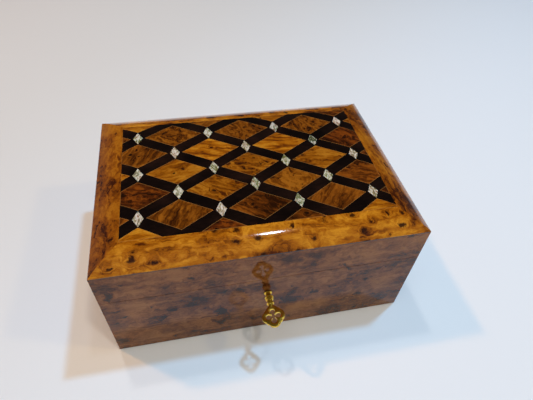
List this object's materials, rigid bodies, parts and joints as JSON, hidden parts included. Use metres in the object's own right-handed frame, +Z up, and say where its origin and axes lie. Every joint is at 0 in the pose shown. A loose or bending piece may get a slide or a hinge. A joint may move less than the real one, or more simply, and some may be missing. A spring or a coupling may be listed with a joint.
{
  "type": "wind up music box",
  "caption": "Wind-up music box in a lacquered burl casket with a crowned marquetry lid, lid lock with key, and a spring driven comb movement.",
  "frame": {"origin": "centre of the flat underside", "axes": "+X to the right, +Y to the back, +Z up; the keyhole faces -Y"},
  "size_m": [0.2, 0.167, 0.0932],
  "materials": {
    "green_felt": "woven felt",
    "plywood": "sanded",
    "burl_sides": "gloss lacquer over dark burl",
    "plain_thuya": "satin lacquer",
    "velvet": "short pile",
    "clear_cover": "clear",
    "lid_mirror": "silvered",
    "polished_brass": "polished",
    "lock_steel": "filed",
    "honey_burl": "gloss lacquer over honey burl",
    "ebony": "gloss lacquer",
    "burl_lozenges": "gloss lacquer over figured burl",
    "pearl": "polished shell",
    "cast_metal": "tumbled casting",
    "steel": "satin",
    "comb_steel": "ground",
    "brass_movement": "satin",
    "ivory_plastic": "moulded"
  },
  "bodies": {
    "casket": {"base_felt": "green_felt", "base_board": "plywood", "key_well": "plywood", "sound_board": "plywood", "front_wall": "burl_sides", "back_wall": "burl_sides", "left_wall": "burl_sides", "right_wall": "burl_sides", "divider": "plain_thuya", "compartment_lining": "velvet", "cover_ledges": "plain_thuya", "movement_cover": "clear_cover", "lock_case": "polished_brass", "lock_screws": "polished_brass", "case_hinge_leaves": "polished_brass", "hinge_pins": "polished_brass", "case_hinge_screws": "polished_brass", "bedplate": "cast_metal", "bedplate_screws": "steel", "barrel_bridge": "cast_metal", "bridge_screws": "steel", "bearing_brackets": "cast_metal", "frame_screws": "steel", "comb": "comb_steel", "comb_screws": "steel", "governor_frame": "brass_movement", "click_spring": "steel", "plunger_guide": "polished_brass"},
    "lid": {"lid_front_rail": "burl_sides", "lid_back_rail": "burl_sides", "lid_left_rail": "burl_sides", "lid_right_rail": "burl_sides", "crown_board": "plywood", "front_border": "honey_burl", "back_border": "honey_burl", "left_border": "honey_burl", "right_border": "honey_burl", "ebony_lattice": "ebony", "burl_lozenges": "burl_lozenges", "pearl_inlays": "pearl", "lid_lining": "velvet", "lid_mirror": "lid_mirror", "lid_hinge_leaves": "polished_brass", "lid_hinge_screws": "polished_brass", "lock_strike": "polished_brass", "strike_screws": "polished_brass"},
    "key": {"lock_key": "polished_brass"},
    "bolt": {"lock_bolt": "lock_steel"},
    "winding": {"winding_arbor": "steel", "ratchet_wheel": "steel", "winding_key": "polished_brass"},
    "click": {"click": "steel"},
    "barrel": {"spring_barrel": "brass_movement", "mainspring": "steel"},
    "cylinder": {"music_cylinder": "brass_movement", "melody_pins": "brass_movement", "cylinder_gears": "brass_movement"},
    "governor": {"governor_wheel": "brass_movement"},
    "brake": {"air_brake": "ivory_plastic"},
    "plunger": {"stop_plunger": "polished_brass"}
  },
  "joints": [
    {"name": "lid_hinge", "type": "hinge", "parent": "casket", "child": "lid", "pos_m": [0, 0.0715, 0.06015], "axis": [-1, 0, 0], "range_deg": [0, 100]},
    {"name": "key_turn", "type": "hinge", "parent": "casket", "child": "key", "pos_m": [0, -0.069, 0.0443], "axis": [0, 1, 0], "range_deg": [-80, 180]},
    {"name": "bolt_slide", "type": "slide", "parent": "casket", "child": "bolt", "axis": [1, 0, 0], "range_m": [-0.00133, 0.003]},
    {"name": "winding_turn", "type": "hinge", "parent": "casket", "child": "winding", "pos_m": [-0.062, -0.018, 0.018], "axis": [0, 0, 1], "continuous": true},
    {"name": "click_lift", "type": "hinge", "parent": "casket", "child": "click", "pos_m": [-0.0716, -0.0136, 0.0214], "axis": [0, 0, 1], "range_deg": [-6.2, 2]},
    {"name": "barrel_spin", "type": "hinge", "parent": "casket", "child": "barrel", "pos_m": [-0.062, -0.018, 0.028], "axis": [0, 0, 1], "continuous": true},
    {"name": "cylinder_spin", "type": "hinge", "parent": "casket", "child": "cylinder", "pos_m": [-0.062, 0.006, 0.0407], "axis": [0, 1, 0], "continuous": true},
    {"name": "governor_spin", "type": "hinge", "parent": "casket", "child": "governor", "pos_m": [-0.072, 0.022, 0.0332], "axis": [0, 1, 0], "continuous": true},
    {"name": "brake_spin", "type": "hinge", "parent": "casket", "child": "brake", "pos_m": [-0.0785, 0.025, 0.0332], "axis": [0, 0, 1], "continuous": true},
    {"name": "stop_rise", "type": "slide", "parent": "casket", "child": "plunger", "axis": [0, 0, 1], "range_m": [0, 0.004]}
  ],
  "couplings": [
    {"joint": "key_turn", "follows": "bolt_slide", "rad_per_m": 1047.2},
    {"joint": "stop_rise", "follows": "lid_hinge", "m_per_rad": 0.0022918},
    {"joint": "cylinder_spin", "follows": "barrel_spin", "ratio": 1.8333},
    {"joint": "governor_spin", "follows": "barrel_spin", "ratio": -7.3333},
    {"joint": "brake_spin", "follows": "barrel_spin", "ratio": 73.333}
  ]
}
